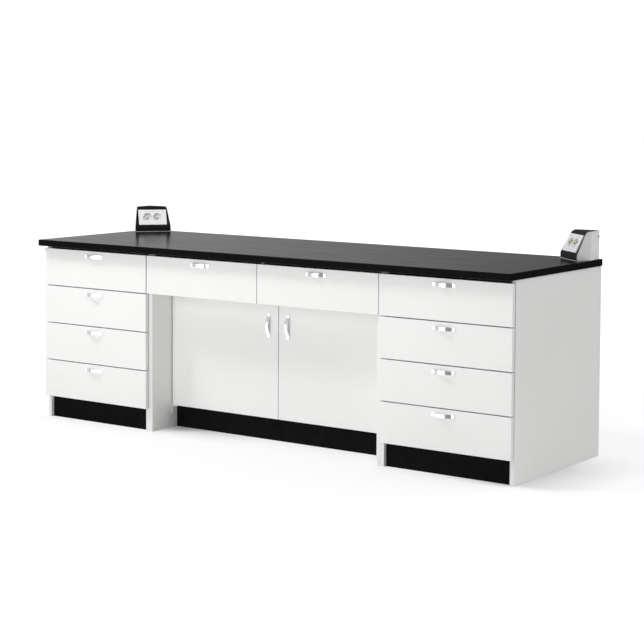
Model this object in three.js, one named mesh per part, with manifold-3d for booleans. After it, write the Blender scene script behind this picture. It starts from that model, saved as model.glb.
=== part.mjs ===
// Laboratory bench with two four-drawer pedestals, a knee recess with a two-door cupboard
// and a socket box on each rear corner of the worktop.
// Millimetres, +Z up. The origin is on the floor under the middle of the worktop, and the
// drawers open towards -Y.
import * as THREE from 'three';
import { mergeVertices } from 'three/addons/utils/BufferGeometryUtils.js';
import Module from 'manifold-3d';

const wasm = await Module();
wasm.setup();

// Carcass units: a pedestal at each end and one unit two drawers wide between them
const PEDESTAL_WIDTH = 597.5;
const CENTRE_WIDTH = 1195;
const CARCASS_DEPTH = 694;
const BOARD = 18;
const BOARD_EDGE = 1;
const BACK_THICKNESS = 18;

// Worktop
const WORKTOP_THICKNESS = 28;
const WORKTOP_EDGE = 2.5;
const OVERHANG_FRONT = 35;
const OVERHANG_END = 5;

// Plinths, behind the carcass front and behind the cupboard's doors
const PLINTH_HEIGHT = 100;
const PLINTH_SETBACK = 15;
const DOOR_PLINTH_SETBACK = 16;

// Drawer fronts, four rows in a pedestal and the top row in the centre unit
const ROWS = 4;
const FRONT_HEIGHT = 163.5;
const FRONT_THICKNESS = 18;
const FRONT_GAP = 3;
const FRONT_STANDOFF = 3;
const FRONT_LAP = 1.5;
const TOP_GAP = 10.5;

// Drawer boxes
const BOX_LENGTH = 500;
const BOX_HEIGHT = 110;
const BOX_SIDE = 15;
const BOX_FLOOR = 8;
const BOX_RISE = 28;

// Runners: a channel on the panel carries a flange along each side of the box
const RUNNER_SPACE = 12.75;
const RUNNER_LENGTH = 500;
const RUNNER_SETBACK = 3;
const RUNNER_WALL = 1.5;
const RUNNER_FLANGE = 11;
const RUNNER_PLAY = 0.3;
const RUNNER_SIDE_CLEARANCE = 1.2;

// Bow handles
const HANDLE_LENGTH = 102;
const HANDLE_WIDTH = 16;
const HANDLE_PROJECTION = 18;
const HANDLE_STRIP = 3;
const HANDLE_FOOT = 13;
const HANDLE_STEPS = 18;
const HANDLE_DROP = 25;

// Cupboard doors, set back in the knee recess
const DOOR_RECESS = 149;
const DOOR_GAP = 3;
const DOOR_TOP_GAP = 6;
const DOOR_STANDOFF = 2;
const DOOR_HANDLE_INSET = 50;
const DOOR_HANDLE_DROP = 104;

// Pivots at the top and bottom outer corners of each door
const PIVOT_INSET = 5;
const PIVOT_RADIUS = 3;
const PIVOT_CLEARANCE = 0.3;
const PIVOT_DEPTH = 12;
const PIVOT_COLLAR_RADIUS = 4.5;
const PIVOT_PLATE = 2.5;
const PIVOT_PLATE_WIDTH = 26;
const PIVOT_PLATE_DEPTH = 30;
const PIVOT_PLATE_SETBACK = 0.5;
const PIVOT_LEG = 34;
const PIVOT_LIFT = 1.3;
const PIVOT_SIDES = 24;

// Socket boxes: plan narrowing in two steps to the corner, front leaning back over a lip
const SOCKET_BOX_WIDTH = 170;
const SOCKET_BOX_SHOULDER_WIDTH = 132;
const SOCKET_BOX_SHOULDER_DEPTH = 68;
const SOCKET_BOX_TAIL_WIDTH = 14;
const SOCKET_BOX_DEPTH = 129;
const SOCKET_BOX_HEIGHT = 115;
const SOCKET_BOX_LIP = 23.5;
const SOCKET_BOX_LEAN = 26.5;
const SOCKET_BOX_TOP_RADIUS = 23;
const SOCKET_BOX_ARC_STEPS = 6;
const SOCKET_BOX_WALL = 2;
const HOOD_THICKNESS = 5;
const HOOD_SIDE_RAIL = 6.8;
const PLATE_LOWER_BORDER = 8;
const PLATE_UPPER_BORDER = 4;
const PLATE_THICKNESS = 10;
const PLATE_PROUD = 5;
const SOCKET_PITCH = 46;
const SOCKET_RADIUS = 20.7;
const SOCKET_DEPTH = 17.5;
const SOCKET_CUP_WALL = 1.8;
const SOCKET_SIDES = 32;
const SEAT_GAP = 0.3;

// Where each socket box stands: its turn, and its distance from the worktop's end and rear edges
const LEFT_SOCKET_TURN = 49;
const LEFT_SOCKET_END_INSET = 2;
const LEFT_SOCKET_REAR_INSET = 1;
const RIGHT_SOCKET_TURN = 39;
const RIGHT_SOCKET_END_INSET = 2;
const RIGHT_SOCKET_REAR_INSET = 5;
const SOCKET_PLACES = [
  {
    name: 'left',
    side: -1,
    turn: LEFT_SOCKET_TURN,
    endInset: LEFT_SOCKET_END_INSET,
    rearInset: LEFT_SOCKET_REAR_INSET,
  },
  {
    name: 'right',
    side: 1,
    turn: RIGHT_SOCKET_TURN,
    endInset: RIGHT_SOCKET_END_INSET,
    rearInset: RIGHT_SOCKET_REAR_INSET,
  },
];

// How far cutting solids run past the faces that they open
const CUT_OVERRUN = 10;
const FUSE_OVERLAP = 1;

const FINISHES = {
  whiteBoard: { color: 0xf3f3f1, roughness: 0.55, metalness: 0 },
  blackTop: { color: 0x17171a, roughness: 0.35, metalness: 0 },
  blackPlinth: { color: 0x101012, roughness: 0.6, metalness: 0 },
  chrome: { color: 0xd8dadd, roughness: 0.18, metalness: 1 },
  steel: { color: 0xb9bcc0, roughness: 0.4, metalness: 1 },
  greyPlastic: { color: 0xd0d0d2, roughness: 0.5, metalness: 0 },
  blackPlastic: { color: 0x161617, roughness: 0.4, metalness: 0 },
  whitePlastic: { color: 0xeeeeef, roughness: 0.35, metalness: 0 },
};

// Planes of the carcass
const xUnit = CENTRE_WIDTH / 2;
const xEnd = xUnit + PEDESTAL_WIDTH;
const xWorktop = xEnd + OVERHANG_END;
const worktopDepth = OVERHANG_FRONT + FRONT_THICKNESS + FRONT_STANDOFF + CARCASS_DEPTH;
const yRear = worktopDepth / 2;
const yBack = yRear - BACK_THICKNESS;
const yFace = OVERHANG_FRONT - worktopDepth / 2;
const yFrontBack = yFace + FRONT_THICKNESS;
const yCarcass = yFrontBack + FRONT_STANDOFF;
const zFronts = PLINTH_HEIGHT - FRONT_LAP;
const zTopRow = rowBottom(0);
const zDeck = zTopRow + FRONT_LAP;
const zCarcass = zTopRow + FRONT_HEIGHT + TOP_GAP;
const zWorktop = zCarcass + WORKTOP_THICKNESS;

// Bottom edge of a row of drawer fronts, counted from the top
function rowBottom(row) {
  return zFronts + (ROWS - 1 - row) * (FRONT_HEIGHT + FRONT_GAP);
}

const bench = new THREE.Group();

function addPiece(group, name, geometry, finish) {
  const piece = new THREE.Mesh(geometry, new THREE.MeshStandardMaterial(finish));
  piece.name = name;
  group.add(piece);
  return piece;
}

// A closed geometry as a solid, for joining and cutting
function toSolid(geometry) {
  const bare = geometry.clone();
  bare.deleteAttribute('normal');
  bare.deleteAttribute('uv');
  const merged = mergeVertices(bare);
  return new wasm.Manifold(new wasm.Mesh({
    numProp: 3,
    vertProperties: new Float32Array(merged.attributes.position.array),
    triVerts: new Uint32Array(merged.index.array),
  }));
}

function toGeometry(solid) {
  const mesh = solid.getMesh();
  const geometry = new THREE.BufferGeometry();
  geometry.setAttribute('position', new THREE.BufferAttribute(mesh.vertProperties, 3));
  geometry.setIndex(new THREE.BufferAttribute(mesh.triVerts, 1));
  geometry.computeVertexNormals();
  return geometry;
}

// A block between two planes on each axis, its edges chamfered. Each corner has one point
// on each of its three faces, so a face lies exactly on the plane that its neighbour uses.
function block(xs, ys, zs, edge = 0) {
  const planes = [xs, ys, zs];
  const positions = [];
  const index = [];
  const pointOn = (axis, ends) => {
    const point = ends.map((end, k) => planes[k][end] + (k === axis ? 0 : edge * (1 - 2 * end)));
    positions.push(...point);
    return positions.length / 3 - 1;
  };
  const corner = {};
  for (const ends of [0, 1].flatMap((x) => [0, 1].flatMap((y) => [0, 1].map((z) => [x, y, z])))) {
    corner[ends.join('')] = [0, 1, 2].map((axis) => pointOn(axis, ends));
  }
  const at = (ends, axis) => corner[ends.join('')][axis];
  const quad = (a, b, c, d) => index.push(a, b, c, a, c, d);
  for (let axis = 0; axis < 3; axis += 1) {
    const next = (axis + 1) % 3;
    const last = (axis + 2) % 3;
    const ends = (onAxis, onNext, onLast) => {
      const list = [0, 0, 0];
      list[axis] = onAxis;
      list[next] = onNext;
      list[last] = onLast;
      return list;
    };
    const around = [[0, 0], [1, 0], [1, 1], [0, 1]];
    const low = around.map(([n, l]) => at(ends(0, n, l), axis));
    const high = around.map(([n, l]) => at(ends(1, n, l), axis));
    quad(...low.reverse());
    quad(...high);
    for (const [n, l] of edge > 0 ? around : []) {
      const strip = [
        at(ends(0, n, l), next),
        at(ends(0, n, l), last),
        at(ends(1, n, l), last),
        at(ends(1, n, l), next),
      ];
      quad(...(n === l ? strip : strip.reverse()));
    }
  }
  for (const [key, points] of edge > 0 ? Object.entries(corner) : []) {
    const highs = [...key].filter((end) => end === '1').length;
    index.push(...(highs % 2 === 1 ? points : [...points].reverse()));
  }
  const geometry = new THREE.BufferGeometry();
  geometry.setAttribute('position', new THREE.Float32BufferAttribute(positions, 3));
  geometry.setIndex(index);
  return mergeVertices(geometry);
}

function addBoard(name, xs, ys, zs, finish = FINISHES.whiteBoard) {
  return addPiece(bench, name, block(xs, ys, zs, BOARD_EDGE), finish);
}

// The two values of a pair in rising order, so that a mirrored side needs no special case
function span(a, b) {
  return [Math.min(a, b), Math.max(a, b)];
}

// Runner channel on a panel face, open towards the drawer: two legs and a web, let into
// the panel so that they are one piece with it
function runnerChannel(xFace, toward, zBox) {
  const reach = xFace + toward * (RUNNER_SPACE - RUNNER_SIDE_CLEARANCE);
  const root = xFace - toward * FUSE_OVERLAP;
  const ys = [yCarcass + RUNNER_SETBACK, yCarcass + RUNNER_SETBACK + RUNNER_LENGTH];
  const low = zBox - RUNNER_PLAY;
  const high = zBox + RUNNER_FLANGE + RUNNER_PLAY;
  const lowerLeg = block(span(root, reach), ys, [low - RUNNER_WALL, low]);
  const upperLeg = block(span(root, reach), ys, [high, high + RUNNER_WALL]);
  const web = block(
    span(root, xFace + toward * RUNNER_WALL),
    ys,
    [low - RUNNER_WALL / 2, high + RUNNER_WALL / 2],
  );
  return toSolid(web).add(toSolid(lowerLeg)).add(toSolid(upperLeg));
}

// A panel that carries runner channels: each is given as its face, direction and height
function addRunnerPanel(name, xs, ys, zs, channels) {
  let panel = toSolid(block(xs, ys, zs, BOARD_EDGE));
  for (const [xFace, toward, zBox] of channels) {
    panel = panel.add(runnerChannel(xFace, toward, zBox));
  }
  return addPiece(bench, name, toGeometry(panel), FINISHES.whiteBoard);
}

function boxBottom(row) {
  return rowBottom(row) + BOX_RISE;
}

// Outline of the bow handle seen edge on: flat feet, and a strip that bows out between them
function handleOutline() {
  const half = HANDLE_LENGTH / 2;
  const bowHalf = half - HANDLE_FOOT;
  const rise = HANDLE_PROJECTION - HANDLE_STRIP;
  const middle = (s) => HANDLE_STRIP / 2 + rise * Math.cos((Math.PI / 2) * (s / bowHalf));
  const outer = [new THREE.Vector2(-half, HANDLE_STRIP)];
  const inner = [new THREE.Vector2(-half, 0)];
  for (let step = 0; step <= HANDLE_STEPS; step += 1) {
    const s = bowHalf * ((2 * step) / HANDLE_STEPS - 1);
    const atFoot = step === 0 || step === HANDLE_STEPS;
    const before = atFoot ? HANDLE_STRIP / 2 : middle(s - bowHalf / HANDLE_STEPS);
    const after = atFoot ? HANDLE_STRIP / 2 : middle(s + bowHalf / HANDLE_STEPS);
    const slope = (after - before) / ((2 * bowHalf) / HANDLE_STEPS);
    const normal = new THREE.Vector2(-slope, 1).normalize().multiplyScalar(HANDLE_STRIP / 2);
    const centre = new THREE.Vector2(s, atFoot ? HANDLE_STRIP / 2 : middle(s));
    outer.push(centre.clone().add(normal));
    inner.push(centre.clone().sub(normal));
  }
  outer.push(new THREE.Vector2(half, HANDLE_STRIP));
  inner.push(new THREE.Vector2(half, 0));
  return new THREE.Shape([...inner, ...outer.reverse()]);
}

// A handle standing out from a front towards -Y, its length along X or, upright, along Z
function addHandle(name, x, yOn, z, upright) {
  const geometry = new THREE.ExtrudeGeometry(handleOutline(), {
    depth: HANDLE_WIDTH,
    bevelEnabled: false,
  });
  geometry.translate(0, 0, -HANDLE_WIDTH / 2);
  if (upright) {
    geometry.rotateY(Math.PI / 2);
  }
  const handle = addPiece(bench, name, geometry, FINISHES.chrome);
  handle.rotation.x = Math.PI;
  handle.position.set(x, yOn - SEAT_GAP, z);
}

// One drawer: front, open box with a runner flange on each side, and handle
function addDrawer(name, frontXs, openingXs, row) {
  const zFront = rowBottom(row);
  addBoard(`${name}_front`, frontXs, [yFace, yFrontBack], [zFront, zFront + FRONT_HEIGHT]);

  const zBox = boxBottom(row);
  const xs = [openingXs[0] + RUNNER_SPACE, openingXs[1] - RUNNER_SPACE];
  const ys = [yFrontBack, yFrontBack + BOX_LENGTH];
  const zs = [zBox, zBox + BOX_HEIGHT];
  const hollow = block(
    [xs[0] + BOX_SIDE, xs[1] - BOX_SIDE],
    [ys[0] + BOX_SIDE, ys[1] - BOX_SIDE],
    [zBox + BOX_FLOOR, zs[1] + CUT_OVERRUN],
  );
  const flangeReach = RUNNER_SPACE - RUNNER_WALL - RUNNER_SIDE_CLEARANCE;
  const flangeZs = [zBox, zBox + RUNNER_FLANGE];
  const box = toSolid(block(xs, ys, zs))
    .add(toSolid(block([xs[0] - flangeReach, xs[0] + FUSE_OVERLAP], ys, flangeZs)))
    .add(toSolid(block([xs[1] - FUSE_OVERLAP, xs[1] + flangeReach], ys, flangeZs)))
    .subtract(toSolid(hollow));
  addPiece(bench, `${name}_box`, toGeometry(box), FINISHES.whiteBoard);

  const xMiddle = (frontXs[0] + frontXs[1]) / 2;
  addHandle(`${name}_handle`, xMiddle, yFace, zFront + FRONT_HEIGHT - HANDLE_DROP, false);
}

function addWorktop() {
  const top = block([-xWorktop, xWorktop], [-yRear, yRear], [zCarcass, zWorktop], WORKTOP_EDGE);
  addPiece(bench, 'worktop', top, FINISHES.blackTop);
}

// A pedestal: end panel to the rear edge, inner panel, bottom, plinth and its drawers
function addPedestal(name, side) {
  const xEndInside = side * (xEnd - BOARD);
  const xInnerFace = side * (xUnit + BOARD);
  const rows = Array.from({ length: ROWS }, (_, row) => row);
  addRunnerPanel(
    `${name}_end_panel`,
    span(side * xEnd, xEndInside),
    [yCarcass, yRear],
    [0, zCarcass],
    rows.map((row) => [xEndInside, -side, boxBottom(row)]),
  );
  addRunnerPanel(
    `${name}_inner_panel`,
    span(side * xUnit, xInnerFace),
    [yCarcass, yBack],
    [0, zCarcass],
    rows.map((row) => [xInnerFace, side, boxBottom(row)]),
  );
  const openingXs = span(xEndInside, xInnerFace);
  const bottomZs = [PLINTH_HEIGHT, PLINTH_HEIGHT + BOARD];
  addBoard(`${name}_pedestal_bottom`, openingXs, [yCarcass, yBack], bottomZs);
  const yPlinth = yCarcass + PLINTH_SETBACK;
  addBoard(`${name}_plinth`, openingXs, [yPlinth, yPlinth + BOARD], [0, PLINTH_HEIGHT], FINISHES.blackPlinth);

  const frontXs = span(side * (xUnit + FRONT_GAP / 2), side * (xEnd - FRONT_GAP / 2));
  for (const row of rows) {
    addDrawer(`${name}_drawer_${row + 1}`, frontXs, openingXs, row);
  }
}

// Centre unit: knee panels, drawer deck and divider, cupboard bottom and plinth
const xKnee = xUnit - BOARD;
const yDoor = yFace + DOOR_RECESS;
const yDoorBack = yDoor + BOARD;

function addCentreUnit() {
  const zBox = boxBottom(0);
  for (const [name, side] of [['left', -1], ['right', 1]]) {
    addRunnerPanel(
      `${name}_knee_panel`,
      span(side * xUnit, side * xKnee),
      [yCarcass, yBack],
      [0, zCarcass],
      [[side * xKnee, -side, zBox]],
    );
    const frontXs = span(side * (FRONT_GAP / 2), side * (xUnit - FRONT_GAP / 2));
    addDrawer(`centre_drawer_${name}`, frontXs, span(side * (BOARD / 2), side * xKnee), 0);
  }
  const insideXs = [-xKnee, xKnee];
  addBoard('drawer_deck', insideXs, [yCarcass, yBack], [zDeck, zDeck + BOARD]);
  addRunnerPanel(
    'drawer_divider',
    [-BOARD / 2, BOARD / 2],
    [yCarcass, yBack],
    [zDeck + BOARD, zCarcass],
    [[-BOARD / 2, -1, zBox], [BOARD / 2, 1, zBox]],
  );
  const bottomZs = [PLINTH_HEIGHT, PLINTH_HEIGHT + BOARD];
  addBoard('cupboard_bottom', insideXs, [yDoorBack + DOOR_STANDOFF, yBack], bottomZs);
  const yPlinth = yDoorBack + DOOR_PLINTH_SETBACK;
  addBoard('cupboard_plinth', insideXs, [yPlinth, yPlinth + BOARD], [0, PLINTH_HEIGHT], FINISHES.blackPlinth);
}

function addBackPanel() {
  addBoard('back_panel', [BOARD - xEnd, xEnd - BOARD], [yBack, yRear], [0, zCarcass]);
}

// An upright round bar between two heights
function bar(x, y, radius, zs) {
  const geometry = new THREE.CylinderGeometry(radius, radius, zs[1] - zs[0], PIVOT_SIDES);
  geometry.rotateX(Math.PI / 2);
  geometry.translate(x, y, (zs[0] + zs[1]) / 2);
  return toSolid(geometry);
}

// A door with its pivot holes, and the bracket and plate whose pins it turns on
function addDoor(name, side) {
  const zs = [zFronts, zDeck - DOOR_TOP_GAP];
  const xHinge = side * (xKnee - DOOR_GAP);
  const xPivot = xHinge - side * PIVOT_INSET;
  const yPivot = yDoor + PIVOT_INSET;
  const holeRadius = PIVOT_RADIUS + PIVOT_CLEARANCE;
  const holeDepth = PIVOT_DEPTH + PIVOT_CLEARANCE;
  const door = toSolid(block(span(side * (DOOR_GAP / 2), xHinge), [yDoor, yDoorBack], zs, BOARD_EDGE))
    .subtract(bar(xPivot, yPivot, holeRadius, [zs[0] - CUT_OVERRUN, zs[0] + holeDepth]))
    .subtract(bar(xPivot, yPivot, holeRadius, [zs[1] - holeDepth, zs[1] + CUT_OVERRUN]));
  addPiece(bench, `${name}_door`, toGeometry(door), FINISHES.whiteBoard);
  const xHandle = side * DOOR_HANDLE_INSET;
  addHandle(`${name}_door_handle`, xHandle, yDoor, zs[1] - DOOR_HANDLE_DROP, true);

  const plateXs = span(side * xKnee, side * (xKnee - PIVOT_PLATE_WIDTH));
  const plateYs = [yDoor + PIVOT_PLATE_SETBACK, yDoor + PIVOT_PLATE_SETBACK + PIVOT_PLATE_DEPTH];
  const legXs = span(side * xKnee, side * (xKnee - PIVOT_PLATE));
  const lowerTop = zs[0] - PIVOT_LIFT;
  const lower = toSolid(block(plateXs, plateYs, [lowerTop - PIVOT_PLATE, lowerTop]))
    .add(toSolid(block(legXs, plateYs, [lowerTop - PIVOT_LEG, lowerTop])))
    .add(bar(xPivot, yPivot, PIVOT_COLLAR_RADIUS, [lowerTop - FUSE_OVERLAP, zs[0] - PIVOT_CLEARANCE]))
    .add(bar(xPivot, yPivot, PIVOT_RADIUS, [lowerTop - FUSE_OVERLAP, zs[0] + PIVOT_DEPTH]));
  addPiece(bench, `${name}_door_lower_pivot`, toGeometry(lower), FINISHES.steel);
  const upper = toSolid(block(plateXs, plateYs, [zDeck - PIVOT_PLATE, zDeck]))
    .add(bar(xPivot, yPivot, PIVOT_RADIUS, [zs[1] - PIVOT_DEPTH, zDeck - PIVOT_PLATE + FUSE_OVERLAP]));
  addPiece(bench, `${name}_door_upper_pivot`, toGeometry(upper), FINISHES.steel);
}

// Socket box outlines. The box's own frame has X along its front, Y back to the corner.
const lean = THREE.MathUtils.degToRad(SOCKET_BOX_LEAN);

// Plan from the front left corner round to the rear left, drawn in by an inset on every
// side but the front, where it is drawn out past the face
function socketBoxPlan(inset) {
  const points = [
    [-SOCKET_BOX_WIDTH / 2, 0],
    [SOCKET_BOX_WIDTH / 2, 0],
    [SOCKET_BOX_SHOULDER_WIDTH / 2, SOCKET_BOX_SHOULDER_DEPTH],
    [SOCKET_BOX_TAIL_WIDTH / 2, SOCKET_BOX_DEPTH],
    [-SOCKET_BOX_TAIL_WIDTH / 2, SOCKET_BOX_DEPTH],
    [-SOCKET_BOX_SHOULDER_WIDTH / 2, SOCKET_BOX_SHOULDER_DEPTH],
  ].map(([x, y]) => new THREE.Vector2(x, y));
  const lines = points.map((start, k) => {
    const along = points[(k + 1) % points.length].clone().sub(start).normalize();
    const inward = new THREE.Vector2(-along.y, along.x);
    const shift = k === 0 ? -CUT_OVERRUN * Math.sign(inset) : inset;
    return { start: start.clone().addScaledVector(inward, shift), along };
  });
  return lines.map((line, k) => {
    const before = lines[(k + lines.length - 1) % lines.length];
    const reach = line.start.clone().sub(before.start).cross(line.along) / before.along.cross(line.along);
    return before.start.clone().addScaledVector(before.along, reach);
  });
}

// Side profile of the front and its round into the top, drawn in by an inset, as depth and height
function socketBoxProfile(inset) {
  const lipTop = SOCKET_BOX_LIP + inset * ((1 - Math.cos(lean)) / Math.tan(lean) - Math.sin(lean));
  const points = [new THREE.Vector2(inset, 0), new THREE.Vector2(inset, lipTop)];
  const drop = SOCKET_BOX_HEIGHT - SOCKET_BOX_TOP_RADIUS - SOCKET_BOX_LIP;
  const along = (drop + SOCKET_BOX_TOP_RADIUS * Math.sin(lean)) / Math.cos(lean);
  const centre = new THREE.Vector2(
    SOCKET_BOX_TOP_RADIUS * Math.cos(lean) + along * Math.sin(lean),
    SOCKET_BOX_HEIGHT - SOCKET_BOX_TOP_RADIUS,
  );
  const radius = SOCKET_BOX_TOP_RADIUS - inset;
  for (let step = 0; step <= SOCKET_BOX_ARC_STEPS; step += 1) {
    const angle = lean + (Math.PI / 2 - lean) * (step / SOCKET_BOX_ARC_STEPS);
    points.push(new THREE.Vector2(centre.x - radius * Math.cos(angle), centre.y + radius * Math.sin(angle)));
  }
  return points;
}

// Solid of a plan outline between two heights
function planPrism(outline, zs) {
  const geometry = new THREE.ExtrudeGeometry(new THREE.Shape(outline), {
    depth: zs[1] - zs[0],
    bevelEnabled: false,
  });
  geometry.translate(0, 0, zs[0]);
  return toSolid(geometry);
}

// Solid of a depth and height outline across the whole width of the box
function profilePrism(outline) {
  const width = SOCKET_BOX_WIDTH + 2 * CUT_OVERRUN;
  const geometry = new THREE.ExtrudeGeometry(new THREE.Shape(outline), { depth: width, bevelEnabled: false });
  geometry.rotateY(Math.PI / 2);
  geometry.rotateX(Math.PI / 2);
  geometry.translate(-width / 2, 0, 0);
  return toSolid(geometry);
}

// Where the straight slope of the front ends below the rounded top, and the plate on it
const slopeEnd = socketBoxProfile(0)[2];
const slopeLength = Math.hypot(slopeEnd.x, slopeEnd.y - SOCKET_BOX_LIP);
const plateHeight = slopeLength - PLATE_LOWER_BORDER - PLATE_UPPER_BORDER;
const plateMiddle = PLATE_LOWER_BORDER + plateHeight / 2;
const plateTopDepth = (slopeLength - PLATE_UPPER_BORDER) * Math.sin(lean);
const sideTaper = (SOCKET_BOX_WIDTH - SOCKET_BOX_SHOULDER_WIDTH) / 2 / SOCKET_BOX_SHOULDER_DEPTH;
const wallAcross = (SOCKET_BOX_WALL + SEAT_GAP) * Math.hypot(1, sideTaper);
const hoodHalfWidth = SOCKET_BOX_WIDTH / 2 - wallAcross - plateTopDepth * sideTaper;
const plateWidth = 2 * (hoodHalfWidth - HOOD_SIDE_RAIL);

// The plate's own frame: X along the front, Y up the slope, Z out of it
function placeOnSlope(object) {
  object.rotation.x = Math.PI / 2 - lean;
  object.position.set(0, plateMiddle * Math.sin(lean), SOCKET_BOX_LIP + plateMiddle * Math.cos(lean));
  object.updateMatrix();
  return object;
}

function slab(width, height, zs) {
  return block([-width / 2, width / 2], [-height / 2, height / 2], zs);
}

function socketPlate() {
  let plate = toSolid(slab(plateWidth, plateHeight, [PLATE_PROUD - PLATE_THICKNESS, PLATE_PROUD]));
  const floor = PLATE_PROUD - SOCKET_DEPTH;
  const cupFloor = floor - SOCKET_CUP_WALL;
  for (const side of [-1, 1]) {
    const cup = new THREE.CylinderGeometry(
      SOCKET_RADIUS + SOCKET_CUP_WALL,
      SOCKET_RADIUS + SOCKET_CUP_WALL,
      -cupFloor,
      SOCKET_SIDES,
    );
    cup.rotateX(Math.PI / 2);
    cup.translate(side * SOCKET_PITCH / 2, 0, cupFloor / 2);
    plate = plate.add(toSolid(cup));
  }
  for (const side of [-1, 1]) {
    const recess = new THREE.CylinderGeometry(
      SOCKET_RADIUS,
      SOCKET_RADIUS,
      SOCKET_DEPTH + CUT_OVERRUN,
      SOCKET_SIDES,
    );
    recess.rotateX(Math.PI / 2);
    recess.translate(side * SOCKET_PITCH / 2, 0, floor + (SOCKET_DEPTH + CUT_OVERRUN) / 2);
    plate = plate.subtract(toSolid(recess));
  }
  return toGeometry(plate);
}

// Black hood: a bent sheet over lip, slope and top, between the walls, with the plate's window
function socketHood() {
  const outer = socketBoxProfile(0);
  const inner = socketBoxProfile(HOOD_THICKNESS);
  const rear = [
    new THREE.Vector2(SOCKET_BOX_DEPTH, SOCKET_BOX_HEIGHT),
    new THREE.Vector2(SOCKET_BOX_DEPTH, SOCKET_BOX_HEIGHT - HOOD_THICKNESS),
  ];
  const band = profilePrism([...outer, ...rear, ...inner.reverse()]);
  const plan = socketBoxPlan(SOCKET_BOX_WALL + SEAT_GAP);
  const between = planPrism(plan, [-CUT_OVERRUN, SOCKET_BOX_HEIGHT + CUT_OVERRUN]);
  const windowSlab = slab(plateWidth + 2 * SEAT_GAP, plateHeight + 2 * SEAT_GAP, [-SOCKET_DEPTH, SOCKET_DEPTH]);
  const window = placeOnSlope(new THREE.Object3D());
  windowSlab.applyMatrix4(window.matrix);
  return toGeometry(band.intersect(between).subtract(toSolid(windowSlab)));
}

// Grey housing: the side and rear walls in one piece, open in front, above and below
function socketHousing() {
  const profile = profilePrism([
    ...socketBoxProfile(0),
    new THREE.Vector2(SOCKET_BOX_DEPTH + CUT_OVERRUN, SOCKET_BOX_HEIGHT),
    new THREE.Vector2(SOCKET_BOX_DEPTH + CUT_OVERRUN, 0),
  ]);
  const outside = planPrism(socketBoxPlan(0), [0, SOCKET_BOX_HEIGHT]);
  const inside = planPrism(socketBoxPlan(SOCKET_BOX_WALL), [-CUT_OVERRUN, SOCKET_BOX_HEIGHT + CUT_OVERRUN]);
  return toGeometry(outside.intersect(profile).subtract(inside));
}

// A socket box turned to face the middle of the bench, its furthest corners at the insets
function addSocketBox({ name, side, turn, endInset, rearInset }) {
  const box = new THREE.Group();
  box.rotation.z = -side * THREE.MathUtils.degToRad(turn);
  const turned = socketBoxPlan(0).map(({ x, y }) => new THREE.Vector3(x, y, 0).applyEuler(box.rotation));
  const outwards = Math.max(...turned.map((point) => side * point.x));
  const backwards = Math.max(...turned.map((point) => point.y));
  box.position.set(side * (xWorktop - endInset - outwards), yRear - rearInset - backwards, zWorktop + SEAT_GAP);
  addPiece(box, `${name}_socket_housing`, socketHousing(), FINISHES.greyPlastic);
  addPiece(box, `${name}_socket_hood`, socketHood(), FINISHES.blackPlastic);
  placeOnSlope(addPiece(box, `${name}_socket_plate`, socketPlate(), FINISHES.whitePlastic));
  bench.add(box);
}

addWorktop();
addPedestal('left', -1);
addPedestal('right', 1);
addCentreUnit();
addBackPanel();
addDoor('left', -1);
addDoor('right', 1);
SOCKET_PLACES.forEach(addSocketBox);

export default bench;
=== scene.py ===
import math

import bmesh
import bpy
from mathutils import Matrix, Vector


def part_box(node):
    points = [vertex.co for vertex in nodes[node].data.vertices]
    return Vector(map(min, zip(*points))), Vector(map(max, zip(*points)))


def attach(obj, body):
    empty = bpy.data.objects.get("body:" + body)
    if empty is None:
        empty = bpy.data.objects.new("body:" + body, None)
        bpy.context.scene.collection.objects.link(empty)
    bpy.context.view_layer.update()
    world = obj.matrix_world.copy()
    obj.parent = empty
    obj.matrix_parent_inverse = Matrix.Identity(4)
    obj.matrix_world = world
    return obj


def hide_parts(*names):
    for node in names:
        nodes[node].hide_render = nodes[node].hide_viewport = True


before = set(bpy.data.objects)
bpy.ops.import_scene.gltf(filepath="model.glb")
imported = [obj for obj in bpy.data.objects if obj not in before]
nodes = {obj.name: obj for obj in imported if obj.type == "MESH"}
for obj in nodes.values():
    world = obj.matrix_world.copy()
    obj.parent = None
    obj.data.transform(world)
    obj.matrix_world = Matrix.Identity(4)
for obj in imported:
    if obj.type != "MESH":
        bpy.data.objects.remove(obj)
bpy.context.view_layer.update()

# Lengths are millimetres, as in the part, but the studio's are metres
MM = 0.001

# Limits for picking by place and normal
NEAR = 0.1
SAME_POINT = 0.01
FACING = 0.9
SIDEWAYS = 0.5
LEVEL = 0.01
AXIS_X = 0
AXIS_Y = 1
AXIS_Z = 2

# Habits of modelling
MERGE = 0.01
EASE_STEPS = 3
FINE_EASE_STEPS = 2
EASE_ANGLE = 30.0
SHARP_EASE_ANGLE = 40.0
ROUND_PROFILE = 0.5
WALL_CENTRED = 0.0
WALL_INWARDS = -1.0
DRUM_SIDES = 48
CUT_PAST = 5.0
SECOND_FINISH = 1

# The photograph's camera
IMAGE_SIDE = 644
SENSOR = 36.0
FOCAL_PIXELS = 1766.08
IMAGE_CENTRE = (333.07, 215.0)
CAMERA_PLACE = (4385.0, -6008.5, 1462.4)
CAMERA_YAW = 0.61513
CAMERA_PITCH = 0.06968
CAMERA_ROLL = 0.00574

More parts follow.
